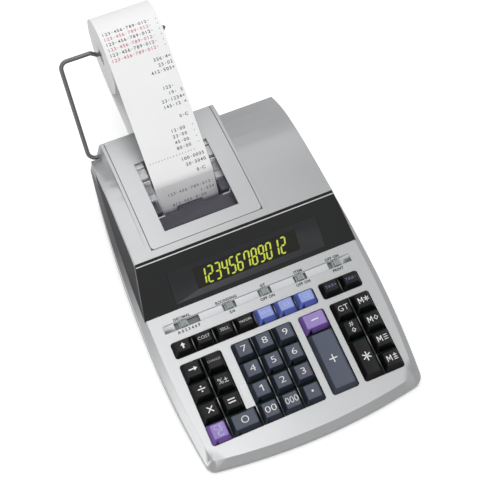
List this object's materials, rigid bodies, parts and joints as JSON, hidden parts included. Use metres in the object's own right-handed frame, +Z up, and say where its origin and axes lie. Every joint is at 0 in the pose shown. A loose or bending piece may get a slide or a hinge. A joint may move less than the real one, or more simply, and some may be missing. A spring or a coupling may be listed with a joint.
{
  "type": "printing calculator",
  "caption": "Desk printing calculator with a sloping key deck, a raised display panel, a paper printer with a tear cover, and a paper roll on a wire arm.",
  "frame": {"origin": "centre of the bounding box, on the desk plane under the feet", "axes": "+X to the user's right, +Y to the rear towards the paper roll, +Z up from the desk"},
  "size_m": [0.217, 0.4114, 0.1546],
  "materials": {
    "case_silver": "satin silver",
    "door_silver": "satin silver",
    "case_grey": "satin grey",
    "side_dark": "fine grain",
    "panel_black": "gloss",
    "display": "dark with light green digits",
    "key_slate": "satin",
    "key_plus": "satin",
    "key_black": "satin",
    "key_purple": "satin",
    "key_blue": "satin",
    "switch_knob": "ribbed",
    "board": "lacquered board with dark rubber domes",
    "frame_grey": "light grey",
    "feet": "soft",
    "paper": "printed",
    "paper_roll": "wound",
    "wire": "dull plated wire",
    "platen": "ground",
    "carriage": "satin",
    "smoked": "smoked clear"
  },
  "bodies": {
    "base": {"bottom_case": "case_grey", "top_case": "case_silver", "rear_cover": "case_silver", "side_panels": "side_dark", "display_panel": "panel_black", "display_module": "display", "keypad_board": "board", "printer_frame": "frame_grey", "rubber_feet": "feet", "paper_strip": "paper"},
    "key_paper_feed": {"key_paper_feed": "key_black"},
    "key_cost": {"key_cost": "key_black"},
    "key_sell": {"key_sell": "key_black"},
    "key_margin": {"key_margin": "key_black"},
    "key_rate_1": {"key_rate_1": "key_blue"},
    "key_rate_2": {"key_rate_2": "key_blue"},
    "key_rate_3": {"key_rate_3": "key_blue"},
    "key_tax_minus": {"key_tax_minus": "key_black"},
    "key_tax_plus": {"key_tax_plus": "key_black"},
    "key_backspace": {"key_backspace": "key_black"},
    "key_change": {"key_change": "key_black"},
    "key_divide": {"key_divide": "key_black"},
    "key_percent": {"key_percent": "key_black"},
    "key_multiply": {"key_multiply": "key_black"},
    "key_equals": {"key_equals": "key_black"},
    "key_clear": {"key_clear": "key_purple"},
    "key_7": {"key_7": "key_slate"},
    "key_8": {"key_8": "key_slate"},
    "key_9": {"key_9": "key_slate"},
    "key_4": {"key_4": "key_slate"},
    "key_5": {"key_5": "key_slate"},
    "key_6": {"key_6": "key_slate"},
    "key_1": {"key_1": "key_slate"},
    "key_2": {"key_2": "key_slate"},
    "key_3": {"key_3": "key_slate"},
    "key_00": {"key_00": "key_slate"},
    "key_000": {"key_000": "key_slate"},
    "key_point": {"key_point": "key_slate"},
    "key_0": {"key_0": "key_slate"},
    "key_minus": {"key_minus": "key_purple"},
    "key_plus": {"key_plus": "key_plus"},
    "key_grand_total": {"key_grand_total": "key_black"},
    "key_subtotal": {"key_subtotal": "key_black"},
    "key_total": {"key_total": "key_black"},
    "key_memory_total": {"key_memory_total": "key_black"},
    "key_memory_subtotal": {"key_memory_subtotal": "key_black"},
    "key_memory_minus": {"key_memory_minus": "key_black"},
    "key_memory_plus": {"key_memory_plus": "key_black"},
    "switch_decimal": {"switch_decimal": "switch_knob"},
    "switch_rounding": {"switch_rounding": "switch_knob"},
    "switch_grand_total": {"switch_grand_total": "switch_knob"},
    "switch_item": {"switch_item": "switch_knob"},
    "switch_print": {"switch_print": "switch_knob"},
    "roll_arm": {"roll_arm": "wire"},
    "paper_roll": {"paper_roll": "paper_roll"},
    "platen": {"platen_roller": "platen"},
    "print_carriage": {"print_carriage": "carriage"},
    "printer_cover": {"printer_cover": "door_silver", "tear_cover": "smoked"}
  },
  "joints": [
    {"name": "key_paper_feed_press", "type": "slide", "parent": "base", "child": "key_paper_feed", "axis": [0, 0.1444, -0.9895], "range_m": [0, 0.0025], "stiffness_N_per_m": 180, "springref_m": -0.001},
    {"name": "key_cost_press", "type": "slide", "parent": "base", "child": "key_cost", "axis": [0, 0.1444, -0.9895], "range_m": [0, 0.0025], "stiffness_N_per_m": 180, "springref_m": -0.001},
    {"name": "key_sell_press", "type": "slide", "parent": "base", "child": "key_sell", "axis": [0, 0.1444, -0.9895], "range_m": [0, 0.0025], "stiffness_N_per_m": 180, "springref_m": -0.001},
    {"name": "key_margin_press", "type": "slide", "parent": "base", "child": "key_margin", "axis": [0, 0.1444, -0.9895], "range_m": [0, 0.0025], "stiffness_N_per_m": 180, "springref_m": -0.001},
    {"name": "key_rate_1_press", "type": "slide", "parent": "base", "child": "key_rate_1", "axis": [0, 0.1444, -0.9895], "range_m": [0, 0.0025], "stiffness_N_per_m": 180, "springref_m": -0.001},
    {"name": "key_rate_2_press", "type": "slide", "parent": "base", "child": "key_rate_2", "axis": [0, 0.1444, -0.9895], "range_m": [0, 0.0025], "stiffness_N_per_m": 180, "springref_m": -0.001},
    {"name": "key_rate_3_press", "type": "slide", "parent": "base", "child": "key_rate_3", "axis": [0, 0.1444, -0.9895], "range_m": [0, 0.0025], "stiffness_N_per_m": 180, "springref_m": -0.001},
    {"name": "key_tax_minus_press", "type": "slide", "parent": "base", "child": "key_tax_minus", "axis": [0, 0.1444, -0.9895], "range_m": [0, 0.0025], "stiffness_N_per_m": 180, "springref_m": -0.001},
    {"name": "key_tax_plus_press", "type": "slide", "parent": "base", "child": "key_tax_plus", "axis": [0, 0.1444, -0.9895], "range_m": [0, 0.0025], "stiffness_N_per_m": 180, "springref_m": -0.001},
    {"name": "key_backspace_press", "type": "slide", "parent": "base", "child": "key_backspace", "axis": [0, 0.1444, -0.9895], "range_m": [0, 0.0025], "stiffness_N_per_m": 180, "springref_m": -0.001},
    {"name": "key_change_press", "type": "slide", "parent": "base", "child": "key_change", "axis": [0, 0.1444, -0.9895], "range_m": [0, 0.0025], "stiffness_N_per_m": 180, "springref_m": -0.001},
    {"name": "key_divide_press", "type": "slide", "parent": "base", "child": "key_divide", "axis": [0, 0.1444, -0.9895], "range_m": [0, 0.0025], "stiffness_N_per_m": 180, "springref_m": -0.001},
    {"name": "key_percent_press", "type": "slide", "parent": "base", "child": "key_percent", "axis": [0, 0.1444, -0.9895], "range_m": [0, 0.0025], "stiffness_N_per_m": 180, "springref_m": -0.001},
    {"name": "key_multiply_press", "type": "slide", "parent": "base", "child": "key_multiply", "axis": [0, 0.1444, -0.9895], "range_m": [0, 0.0025], "stiffness_N_per_m": 180, "springref_m": -0.001},
    {"name": "key_equals_press", "type": "slide", "parent": "base", "child": "key_equals", "axis": [0, 0.1444, -0.9895], "range_m": [0, 0.0025], "stiffness_N_per_m": 180, "springref_m": -0.001},
    {"name": "key_clear_press", "type": "slide", "parent": "base", "child": "key_clear", "axis": [0, 0.1444, -0.9895], "range_m": [0, 0.0025], "stiffness_N_per_m": 180, "springref_m": -0.001},
    {"name": "key_7_press", "type": "slide", "parent": "base", "child": "key_7", "axis": [0, 0.1444, -0.9895], "range_m": [0, 0.0025], "stiffness_N_per_m": 180, "springref_m": -0.001},
    {"name": "key_8_press", "type": "slide", "parent": "base", "child": "key_8", "axis": [0, 0.1444, -0.9895], "range_m": [0, 0.0025], "stiffness_N_per_m": 180, "springref_m": -0.001},
    {"name": "key_9_press", "type": "slide", "parent": "base", "child": "key_9", "axis": [0, 0.1444, -0.9895], "range_m": [0, 0.0025], "stiffness_N_per_m": 180, "springref_m": -0.001},
    {"name": "key_4_press", "type": "slide", "parent": "base", "child": "key_4", "axis": [0, 0.1444, -0.9895], "range_m": [0, 0.0025], "stiffness_N_per_m": 180, "springref_m": -0.001},
    {"name": "key_5_press", "type": "slide", "parent": "base", "child": "key_5", "axis": [0, 0.1444, -0.9895], "range_m": [0, 0.0025], "stiffness_N_per_m": 180, "springref_m": -0.001},
    {"name": "key_6_press", "type": "slide", "parent": "base", "child": "key_6", "axis": [0, 0.1444, -0.9895], "range_m": [0, 0.0025], "stiffness_N_per_m": 180, "springref_m": -0.001},
    {"name": "key_1_press", "type": "slide", "parent": "base", "child": "key_1", "axis": [0, 0.1444, -0.9895], "range_m": [0, 0.0025], "stiffness_N_per_m": 180, "springref_m": -0.001},
    {"name": "key_2_press", "type": "slide", "parent": "base", "child": "key_2", "axis": [0, 0.1444, -0.9895], "range_m": [0, 0.0025], "stiffness_N_per_m": 180, "springref_m": -0.001},
    {"name": "key_3_press", "type": "slide", "parent": "base", "child": "key_3", "axis": [0, 0.1444, -0.9895], "range_m": [0, 0.0025], "stiffness_N_per_m": 180, "springref_m": -0.001},
    {"name": "key_00_press", "type": "slide", "parent": "base", "child": "key_00", "axis": [0, 0.1444, -0.9895], "range_m": [0, 0.0025], "stiffness_N_per_m": 180, "springref_m": -0.001},
    {"name": "key_000_press", "type": "slide", "parent": "base", "child": "key_000", "axis": [0, 0.1444, -0.9895], "range_m": [0, 0.0025], "stiffness_N_per_m": 180, "springref_m": -0.001},
    {"name": "key_point_press", "type": "slide", "parent": "base", "child": "key_point", "axis": [0, 0.1444, -0.9895], "range_m": [0, 0.0025], "stiffness_N_per_m": 180, "springref_m": -0.001},
    {"name": "key_0_press", "type": "slide", "parent": "base", "child": "key_0", "axis": [0, 0.1444, -0.9895], "range_m": [0, 0.0025], "stiffness_N_per_m": 180, "springref_m": -0.001},
    {"name": "key_minus_press", "type": "slide", "parent": "base", "child": "key_minus", "axis": [0, 0.1444, -0.9895], "range_m": [0, 0.0025], "stiffness_N_per_m": 180, "springref_m": -0.001},
    {"name": "key_plus_press", "type": "slide", "parent": "base", "child": "key_plus", "axis": [0, 0.1444, -0.9895], "range_m": [0, 0.0025], "stiffness_N_per_m": 180, "springref_m": -0.001},
    {"name": "key_grand_total_press", "type": "slide", "parent": "base", "child": "key_grand_total", "axis": [0, 0.1444, -0.9895], "range_m": [0, 0.0025], "stiffness_N_per_m": 180, "springref_m": -0.001},
    {"name": "key_subtotal_press", "type": "slide", "parent": "base", "child": "key_subtotal", "axis": [0, 0.1444, -0.9895], "range_m": [0, 0.0025], "stiffness_N_per_m": 180, "springref_m": -0.001},
    {"name": "key_total_press", "type": "slide", "parent": "base", "child": "key_total", "axis": [0, 0.1444, -0.9895], "range_m": [0, 0.0025], "stiffness_N_per_m": 180, "springref_m": -0.001},
    {"name": "key_memory_total_press", "type": "slide", "parent": "base", "child": "key_memory_total", "axis": [0, 0.1444, -0.9895], "range_m": [0, 0.0025], "stiffness_N_per_m": 180, "springref_m": -0.001},
    {"name": "key_memory_subtotal_press", "type": "slide", "parent": "base", "child": "key_memory_subtotal", "axis": [0, 0.1444, -0.9895], "range_m": [0, 0.0025], "stiffness_N_per_m": 180, "springref_m": -0.001},
    {"name": "key_memory_minus_press", "type": "slide", "parent": "base", "child": "key_memory_minus", "axis": [0, 0.1444, -0.9895], "range_m": [0, 0.0025], "stiffness_N_per_m": 180, "springref_m": -0.001},
    {"name": "key_memory_plus_press", "type": "slide", "parent": "base", "child": "key_memory_plus", "axis": [0, 0.1444, -0.9895], "range_m": [0, 0.0025], "stiffness_N_per_m": 180, "springref_m": -0.001},
    {"name": "switch_decimal_slide", "type": "slide", "parent": "base", "child": "switch_decimal", "axis": [1, 0, 0], "range_m": [-0.0055, 0.012]},
    {"name": "switch_rounding_slide", "type": "slide", "parent": "base", "child": "switch_rounding", "axis": [1, 0, 0], "range_m": [-0.0032, 0.0032]},
    {"name": "switch_grand_total_slide", "type": "slide", "parent": "base", "child": "switch_grand_total", "axis": [1, 0, 0], "range_m": [-0.0032, 0.0032]},
    {"name": "switch_item_slide", "type": "slide", "parent": "base", "child": "switch_item", "axis": [1, 0, 0], "range_m": [-0.0032, 0.0032]},
    {"name": "switch_print_slide", "type": "slide", "parent": "base", "child": "switch_print", "axis": [1, 0, 0], "range_m": [-0.0055, 0.0008]},
    {"name": "roll_arm_swing", "type": "hinge", "parent": "base", "child": "roll_arm", "pos_m": [-0.085, 0.10802, 0.06], "axis": [1, 0, 0], "range_deg": [0, 65], "deforming": ["paper_strip"]},
    {"name": "paper_roll_spin", "type": "hinge", "parent": "roll_arm", "child": "paper_roll", "pos_m": [-0.0223, 0.17003, 0.1187], "axis": [1, 0, 0], "continuous": true},
    {"name": "platen_spin", "type": "hinge", "parent": "base", "child": "platen", "pos_m": [-0.0235, 0.04353, 0.044], "axis": [1, 0, 0], "continuous": true},
    {"name": "print_carriage_slide", "type": "slide", "parent": "base", "child": "print_carriage", "axis": [1, 0, 0], "range_m": [-0.024, 0.024]},
    {"name": "printer_cover_lift", "type": "slide", "parent": "base", "child": "printer_cover", "axis": [0, 0, 1], "range_m": [0, 0.01]}
  ],
  "couplings": [
    {"joint": "platen_spin", "follows": "paper_roll_spin", "ratio": 3.8065}
  ]
}
